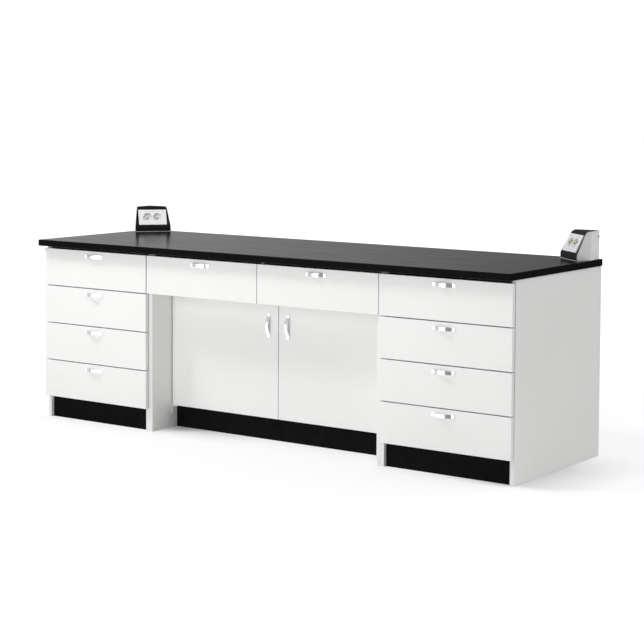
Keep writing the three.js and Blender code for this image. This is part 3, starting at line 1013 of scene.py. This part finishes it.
def wall_lines():
    lines = []
    for start, end in zip(BOX_PLAN[1:], BOX_PLAN[2:] + BOX_PLAN[:1]):
        along = (Vector(end) - Vector(start)).normalized()
        lines.append((Vector(start), Vector((along.y, -along.x))))
    return lines


def model_housing():
    housing = model_socket_body("socket_housing_walls")
    open_mesh(housing)
    pick_faces(housing, lambda place, normal: abs(normal.z) > LEVEL or normal.y < -FACING)
    bpy.ops.mesh.delete(type="FACE")
    close_mesh()
    thicken(housing, BOX_WALL, WALL_INWARDS)
    turn_faces_out(housing)
    ease_edges(housing, HOUSING_EASE, FINE_EASE_STEPS)
    drill = add_vent_drum("vent_drill", VENT_RADIUS, VENT_DRILL_LENGTH, 0)
    onto_rear_facet(drill)
    cut_away(housing, drill)
    recess = add_knockout_block("knockout_recess", 0, -KNOCKOUT_CUT, KNOCKOUT_DEPTH)
    onto_rear_facet(recess)
    cut_away(housing, recess)
    return housing


def onto_rear_facet(piece):
    shoulder = Vector(BOX_PLAN[2])
    along = Vector(BOX_PLAN[3]) - shoulder
    piece.rotation_euler = (0, 0, math.atan2(along.y, along.x))
    piece.location = (shoulder.x * MM, shoulder.y * MM, 0)
    apply_place(piece)


def add_vent_drum(name, radius, length, depth):
    deselect_all()
    bpy.ops.mesh.primitive_cylinder_add(
        vertices=VENT_SIDES,
        radius=radius * MM,
        depth=length * MM,
        location=(VENT_AT[0] * MM, depth * MM, VENT_AT[1] * MM),
        rotation=(math.pi / 2, 0, 0),
    )
    drum = bpy.context.object
    apply_place(drum)
    name_piece(drum, name)
    return drum


def add_knockout_block(name, margin, front, back):
    left, bottom = KNOCKOUT_LOW
    right, top = KNOCKOUT_HIGH
    low = (left + margin, front, bottom + margin)
    high = (right - margin, back, top - margin)
    return add_block(name, low, high)


def model_vent_plug():
    plug = add_vent_drum("vent_plug", VENT_RADIUS - VENT_PLUG_GAP, VENT_PLUG_THICK, VENT_PLUG_DEPTH)
    open_mesh(plug)
    pick_faces(plug, lambda place, normal: normal.y < -FACING)
    inset_picked(VENT_DISH_RIM)
    pull_picked(0, VENT_DISH_DEPTH, 0)
    close_mesh()
    ease_edges(plug, VENT_EASE, FINE_EASE_STEPS)
    onto_rear_facet(plug)
    return plug


def model_knockout():
    seat = KNOCKOUT_DEPTH + KNOCKOUT_SEAT
    plug = add_knockout_block("knockout_plug", KNOCKOUT_GROOVE, -KNOCKOUT_PROUD, seat)
    ease_edges(plug, KNOCKOUT_EASE, FINE_EASE_STEPS)
    onto_rear_facet(plug)
    return plug


def slope_point(across, up):
    rise = PLATE_MIDDLE + up
    return Vector((across, rise * math.sin(BOX_LEAN), BOX_LIP + rise * math.cos(BOX_LEAN)))


def onto_slope(piece):
    piece.rotation_euler = (math.pi / 2 - BOX_LEAN, 0, 0)
    piece.location = slope_point(0, 0) * MM
    apply_place(piece)


def model_hood():
    hood = model_socket_body("socket_hood_sheet")
    open_mesh(hood)
    for start, normal in wall_lines():
        place = start - normal * (BOX_WALL + BOX_SEAM)
        slice_off((place.x, place.y, 0), (normal.x, normal.y, 0))
    face_outwards()
    pick_faces(hood, lambda place, normal: normal.z < LEVEL and normal.y > -FACING)
    bpy.ops.mesh.delete(type="FACE")
    open_window(hood)
    close_mesh()
    thicken(hood, HOOD_THICK, WALL_INWARDS)
    turn_faces_out(hood)
    ease_edges(hood, HOOD_EASE, FINE_EASE_STEPS, SHARP_EASE_ANGLE)
    return hood


def open_window(hood):
    pick_faces(hood, lambda place, normal: abs(normal.z - math.sin(BOX_LEAN)) < LEVEL)
    inset_picked(HOOD_MARGIN)
    half_width = PLATE_SIZE[0] / 2 + BOX_SEAM
    half_height = PLATE_SIZE[1] / 2 + BOX_SEAM
    corners = [slope_point(x * half_width, y * half_height) for x in (-1, 1) for y in (-1, 1)]
    shape = bmesh.from_edit_mesh(hood.data)
    inner = [point.co / MM for face in shape.faces if face.select for point in face.verts]
    for here in inner:
        target = min(corners, key=lambda corner: (corner - here).length)
        pick_points(hood, lambda point: (point - here).length < SAME_POINT)
        shift_picked(*(target - here))
    pick_faces(hood, lambda place, normal: (place - slope_point(0, 0)).length < WINDOW_REACH)
    bpy.ops.mesh.delete(type="FACE")


def model_plate():
    half_width = PLATE_SIZE[0] / 2
    half_height = PLATE_SIZE[1] / 2
    low = (-half_width, -half_height, PLATE_BACK)
    high = (half_width, half_height, PLATE_FACE)
    plate = add_block("socket_plate_frame", low, high)
    plate.data.materials.append(PLATE_WHITE)
    plate.data.materials.append(FIELD_WHITE)
    open_mesh(plate)
    pick_faces(plate, lambda place, normal: normal.z > FACING)
    inset_picked(PLATE_BORDER)
    inset_picked(PLATE_GROOVE_SIDE, -PLATE_GROOVE_DEPTH)
    inset_picked(PLATE_GROOVE_SIDE, PLATE_FIELD_RISE)
    plate.active_material_index = SECOND_FINISH
    bpy.ops.object.material_slot_assign()
    close_mesh()
    ease_edges(plate, PLATE_EASE, FINE_EASE_STEPS, SHARP_EASE_ANGLE)
    close_slits(plate)
    heights = (PLATE_BACK - CUT_PAST, PLATE_FACE + CUT_PAST)
    for side in (-1, 1):
        cut_away(plate, add_drum("socket_hole", SOCKET_HOLE_RADIUS, heights, side * SOCKET_PITCH / 2))
    onto_slope(plate)
    return plate


def draw_cup(x):
    deselect_all()
    radius, height = CUP_RINGS[0]
    start = (x * MM, 0, height * MM)
    bpy.ops.mesh.primitive_circle_add(vertices=CUP_SIDES, radius=radius * MM, location=start)
    cup = bpy.context.object
    apply_place(cup)
    name_piece(cup, "socket_cup")
    open_mesh(cup)
    bpy.ops.mesh.select_all(action="SELECT")
    for next_radius, next_height in CUP_RINGS[1:]:
        pull_picked_edges(0, 0, next_height - height)
        share = next_radius / radius
        centre = (x * MM, 0, next_height * MM)
        bpy.ops.transform.resize(value=(share, share, 1), center_override=centre)
        radius = next_radius
        height = next_height
    bpy.ops.mesh.edge_face_add()
    face_outwards()
    close_mesh()
    return cup


def add_guide_cut(x):
    bottom, top = GUIDE_CUT_HEIGHTS
    low = (x - GUIDE_CUT_REACH, -GUIDE_CUT_HALF_WIDTH, bottom)
    high = (x + GUIDE_CUT_REACH, GUIDE_CUT_HALF_WIDTH, top)
    return add_block("guide_notch", low, high)


def add_contact_drill(x):
    return add_drum("contact_hole", CONTACT_RADIUS, CONTACT_HEIGHTS, x, CONTACT_SIDES)


def model_cup(x):
    cup = draw_cup(x)
    thicken(cup, CUP_WALL, WALL_INWARDS)
    turn_faces_out(cup)
    for side in (-1, 1):
        cut_away(cup, add_guide_cut(x + side * GUIDE_CUT_AT))
        cut_away(cup, add_contact_drill(x + side * CONTACT_AT))
    take(cup)
    bpy.ops.object.shade_smooth_by_angle(angle=math.radians(CUP_SMOOTH_ANGLE))
    onto_slope(cup)
    return cup


def turn_about_cup(piece, x, turn):
    piece.rotation_euler = (0, 0, math.radians(turn))
    piece.location = (x * MM, 0, 0)
    apply_place(piece)
    onto_slope(piece)


def model_earth_clip(x, turn):
    clip = add_block("earth_clip", CLIP_LOW, CLIP_HIGH)
    open_mesh(clip)
    pick_faces(clip, lambda place, normal: normal.z > FACING)
    for bend in CLIP_BENDS:
        pull_picked(*bend)
    close_mesh()
    ease_edges(clip, CLIP_EASE, FINE_EASE_STEPS)
    turn_about_cup(clip, x, turn)
    return clip


# A block at the back of each guide notch, finished near-black in model_socket_pieces: painted shade
# inside the notch
def model_guide_slot(x, turn):
    slot = add_block("guide_slot_shade", SLOT_LOW, SLOT_HIGH)
    open_mesh(slot)
    pick_faces(slot, lambda place, normal: normal.x < -FACING)
    inset_picked(SLOT_RIM)
    pull_picked(SLOT_SINK, 0, 0)
    close_mesh()
    ease_edges(slot, SLOT_EASE, FINE_EASE_STEPS)
    close_slits(slot)
    turn_about_cup(slot, x, turn)
    return slot


def model_centre_screw(x):
    screw = add_drum("centre_screw", SCREW_RADIUS, SCREW_HEIGHTS, x, SCREW_SIDES)
    bottom, top = SCREW_SLOT_HEIGHTS
    low = (x - CUT_PAST, -SCREW_SLOT_HALF_WIDTH, bottom)
    high = (x + CUT_PAST, SCREW_SLOT_HALF_WIDTH, top)
    cut_away(screw, add_block("screw_slot", low, high))
    ease_edges(screw, SCREW_EASE, FINE_EASE_STEPS, SCREW_EASE_ANGLE)
    close_slits(screw)
    onto_slope(screw)
    return screw


def model_base_strip():
    strip = add_block("socket_base_strip", STRIP_LOW, STRIP_HIGH)
    ease_edges(strip, STRIP_EASE, FINE_EASE_STEPS)
    return strip


# Each row is a piece, its name, its slot, its finish and the node that it stands for

def model_box_pieces():
    return [
        (model_housing(), "housing_walls", "socket_grey", HOUSING_GREY, "housing"),
        (model_hood(), "hood_sheet", "socket_black", HOOD_BLACK, "hood"),
        (model_plate(), "plate_frame", "socket_white", None, "plate"),
        (model_base_strip(), "base_strip", "socket_grey", HOUSING_GREY, None),
        (model_knockout(), "knockout_plug", "socket_grey", HOUSING_GREY, None),
        (model_vent_plug(), "vent_plug", "socket_black", VENT_BLACK_AND_SLOT_SHADE, None),
    ]


def model_socket_pieces(letter, x):
    pieces = [
        (model_cup(x), f"cup_{letter}", "socket_white", PLATE_WHITE, None),
        (model_centre_screw(x), f"screw_{letter}", "pivot_steel", SCREW_COPPER, None),
    ]
    for place, turn in CLIP_TURNS.items():
        clip = model_earth_clip(x, turn)
        pieces.append((clip, f"{place}_clip_{letter}", "pivot_steel", BRASS, None))
    # The guide slot blocks get the near-black finish: painted shade in the cup notches
    for place, turn in SLOT_TURNS.items():
        slot = model_guide_slot(x, turn)
        pieces.append((slot, f"{place}_slot_{letter}", "socket_black", VENT_BLACK_AND_SLOT_SHADE, None))
    return pieces


def make_socket_boxes():
    masters = model_box_pieces()
    for letter, side in (("a", -1), ("b", 1)):
        masters += model_socket_pieces(letter, side * SOCKET_PITCH / 2)
    for name, (x, y, z, turn) in SOCKET_BOXES.items():
        about_upright = (0, 0, math.radians(turn))
        for master, kind, slot, finish, node in masters:
            piece = copy_piece(master, f"{name}_socket_{kind}", (x, y, z), about_upright)
            if finish is None:
                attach(piece, "carcass")
            else:
                dress(piece, "carcass", slot, finish)
            if node:
                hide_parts(f"{name}_socket_{node}")
    for master, *_ in masters:
        delete_piece(master)


# Values in a node tree

def set_or_link(tree, value, socket):
    if isinstance(value, float):
        socket.default_value = value
    else:
        tree.links.new(value, socket)


def combine(tree, operation, one, other):
    step = tree.nodes.new("ShaderNodeMath")
    step.operation = operation
    set_or_link(tree, one, step.inputs[0])
    set_or_link(tree, other, step.inputs[1])
    return step.outputs["Value"]


def sum_of(tree, one, other):
    return combine(tree, "ADD", one, other)


def product_of(tree, one, other):
    return combine(tree, "MULTIPLY", one, other)


def either(tree, choice, one, other):
    mix = tree.nodes.new("ShaderNodeMix")
    mix.data_type = "FLOAT"
    tree.links.new(choice, mix.inputs["Factor"])
    set_or_link(tree, one, mix.inputs["A"])
    set_or_link(tree, other, mix.inputs["B"])
    return mix.outputs["Result"]


def rise_and_fall(tree, value, start, full, fading, end):
    rising = spread(tree, value, 0.0, 1.0, start, full)
    falling = spread(tree, value, 1.0, 0.0, fading, end)
    return product_of(tree, rising, falling)


def parts_of(tree, vector):
    parts = tree.nodes.new("ShaderNodeSeparateXYZ")
    tree.links.new(vector, parts.inputs["Vector"])
    return parts.outputs


def vector_step(tree, operation, vector):
    step = tree.nodes.new("ShaderNodeVectorMath")
    step.operation = operation
    tree.links.new(vector, step.inputs[0])
    return step


def facing(tree, vector, towards):
    step = vector_step(tree, "DOT_PRODUCT", vector)
    step.inputs[1].default_value = towards
    return step.outputs["Value"]


# Studio

def place_camera():
    lens = bpy.data.cameras.new("bench_camera")
    camera = bpy.data.objects.new("bench_camera", lens)
    bpy.context.scene.collection.objects.link(camera)
    lens.sensor_width = SENSOR
    lens.lens = FOCAL_PIXELS * SENSOR / IMAGE_SIDE
    lens.shift_x = (IMAGE_SIDE / 2 - IMAGE_CENTRE[0]) / IMAGE_SIDE
    lens.shift_y = (IMAGE_CENTRE[1] - IMAGE_SIDE / 2) / IMAGE_SIDE
    ahead = Vector((
        -math.sin(CAMERA_YAW) * math.cos(CAMERA_PITCH),
        math.cos(CAMERA_YAW) * math.cos(CAMERA_PITCH),
        -math.sin(CAMERA_PITCH),
    ))
    level = Vector((math.cos(CAMERA_YAW), math.sin(CAMERA_YAW), 0))
    upright = level.cross(ahead)
    right = level * math.cos(CAMERA_ROLL) + upright * math.sin(CAMERA_ROLL)
    up = upright * math.cos(CAMERA_ROLL) - level * math.sin(CAMERA_ROLL)
    turn = Matrix((right, up, -ahead)).transposed().to_4x4()
    camera.matrix_world = Matrix.Translation(Vector(CAMERA_PLACE) * MM) @ turn
    bpy.context.scene.camera = camera


def surround_fill(tree, direction):
    parts = parts_of(tree, direction)
    ceiling = spread(tree, parts["Z"], 0.0, FILL_CEILING, *FILL_CEILING_RANGE)
    to_back_right = facing(tree, direction, BACK_RIGHT_TOWARDS)
    back_right = spread(tree, to_back_right, 0.0, FILL_BACK_RIGHT, *BACK_RIGHT_RANGE)
    return sum_of(tree, ceiling, back_right)


def surround_sheen(tree, direction):
    parts = parts_of(tree, direction)
    behind = spread(tree, parts["X"], SHEEN_LEFT, SHEEN_RIGHT, *SHEEN_SIDE_RANGE)
    to_screen = facing(tree, direction, SCREEN_TOWARDS)
    screen = spread(tree, to_screen, SHEEN_OFF_SCREEN, SHEEN_SCREEN, *SCREEN_RANGE)
    in_front = spread(tree, parts["Y"], 1.0, 0.0, *SHEEN_FRONT_RANGE)
    all_round = either(tree, in_front, behind, screen)
    overhead = spread(tree, parts["Z"], 0.0, 1.0, *OVERHEAD_RANGE)
    to_high_right = facing(tree, direction, HIGH_RIGHT_TOWARDS)
    high_right = spread(tree, to_high_right, 0.0, SHEEN_HIGH_RIGHT, *HIGH_RIGHT_RANGE)
    return sum_of(tree, either(tree, overhead, all_round, SHEEN_OVERHEAD), high_right)


def light_world():
    world = bpy.data.worlds.new("studio_surround")
    bpy.context.scene.world = world
    world.use_nodes = True
    tree = world.node_tree
    background = tree.nodes["Background"]
    background.inputs["Color"].default_value = WHITE
    direction = tree.nodes.new("ShaderNodeTexCoord").outputs["Generated"]
    rays = tree.nodes.new("ShaderNodeLightPath").outputs
    fill = surround_fill(tree, direction)
    sheen = surround_sheen(tree, direction)
    lit = either(tree, rays["Is Glossy Ray"], fill, sheen)
    seen = either(tree, rays["Is Camera Ray"], lit, 1.0)
    tree.links.new(seen, background.inputs["Strength"])


# Patches of the floor, by place, that get almost no white lift: painted shade beside the right end
# and in the knee recess
def shaded_patch(tree, parts, patch):
    across = rise_and_fall(tree, parts["X"], *patch["across"])
    along = rise_and_fall(tree, parts["Y"], *patch["along"])
    return product_of(tree, across, along)


def floor_lift(tree, place):
    distance = vector_step(tree, "LENGTH", place).outputs["Value"]
    open_floor = spread(tree, distance, FLOOR_LIFT, 1.0, *FLOOR_LIFT_RANGE)
    parts = parts_of(tree, place)
    beside_end = shaded_patch(tree, parts, END_SHADE)
    beside_knee = shaded_patch(tree, parts, KNEE_SHADE)
    return either(tree, sum_of(tree, beside_end, beside_knee), open_floor, FLOOR_LIFT_UNDER)


def floor_sheen(tree, place):
    rightwards = facing(tree, place, FLOOR_RIGHT_TOWARDS)
    on_right = spread(tree, rightwards, 0.0, 1.0, *FLOOR_RIGHT_RANGE)
    heading = vector_step(tree, "NORMALIZE", place).outputs["Vector"]
    leftwards = facing(tree, heading, FLOOR_LEFT_TOWARDS)
    on_left = spread(tree, leftwards, 0.0, 1.0, *FLOOR_LEFT_RANGE)
    elsewhere = either(tree, on_left, FLOOR_SHEEN, FLOOR_SHEEN_LEFT)
    return either(tree, on_right, elsewhere, FLOOR_SHEEN_RIGHT)


def floor_finish():
    finish, tree, shader = start_finish("studio_floor")
    tree.nodes.remove(shader)
    paint = tree.nodes.new("ShaderNodeBsdfDiffuse")
    paint.inputs["Color"].default_value = (FLOOR_WHITE, FLOOR_WHITE, FLOOR_WHITE, 1)
    glow = tree.nodes.new("ShaderNodeEmission")
    place = tree.nodes.new("ShaderNodeTexCoord").outputs["Object"]
    rays = tree.nodes.new("ShaderNodeLightPath").outputs
    glossy = rays["Is Glossy Ray"]
    strength = either(tree, glossy, FLOOR_GLOW, floor_sheen(tree, place))
    tree.links.new(strength, glow.inputs["Strength"])
    lifted = either(tree, rays["Is Camera Ray"], glossy, floor_lift(tree, place))
    mix = tree.nodes.new("ShaderNodeMixShader")
    tree.links.new(lifted, mix.inputs["Fac"])
    tree.links.new(paint.outputs["BSDF"], mix.inputs[1])
    tree.links.new(glow.outputs["Emission"], mix.inputs[2])
    tree.links.new(mix.outputs["Shader"], tree.nodes["Material Output"].inputs["Surface"])
    return finish


def lay_floor():
    deselect_all()
    bpy.ops.mesh.primitive_circle_add(vertices=FLOOR_SIDES, radius=FLOOR_RADIUS, fill_type="NGON")
    floor = bpy.context.object
    name_piece(floor, "studio_floor")
    floor.data.materials.append(floor_finish())


def hang_lamp(settings):
    bpy.ops.object.light_add(type="AREA", location=settings["place"])
    lamp = bpy.context.object
    lamp.data.shape = "SQUARE"
    lamp.data.size = settings["side"]
    lamp.data.energy = settings["power"]
    aim = Vector(LAMP_AIM) - Vector(settings["place"])
    lamp.rotation_euler = aim.to_track_quat("-Z", "Y").to_euler()


make_worktop()
make_drawer_fronts()
make_doors()
make_panels()
make_divider()
make_handles()
make_drawer_boxes()
make_socket_boxes()
finish_plain_nodes()
place_camera()
light_world()
lay_floor()
hang_lamp(KEY_LAMP)
hang_lamp(FRONT_LAMP)
bpy.context.scene.view_settings.view_transform = "Standard"
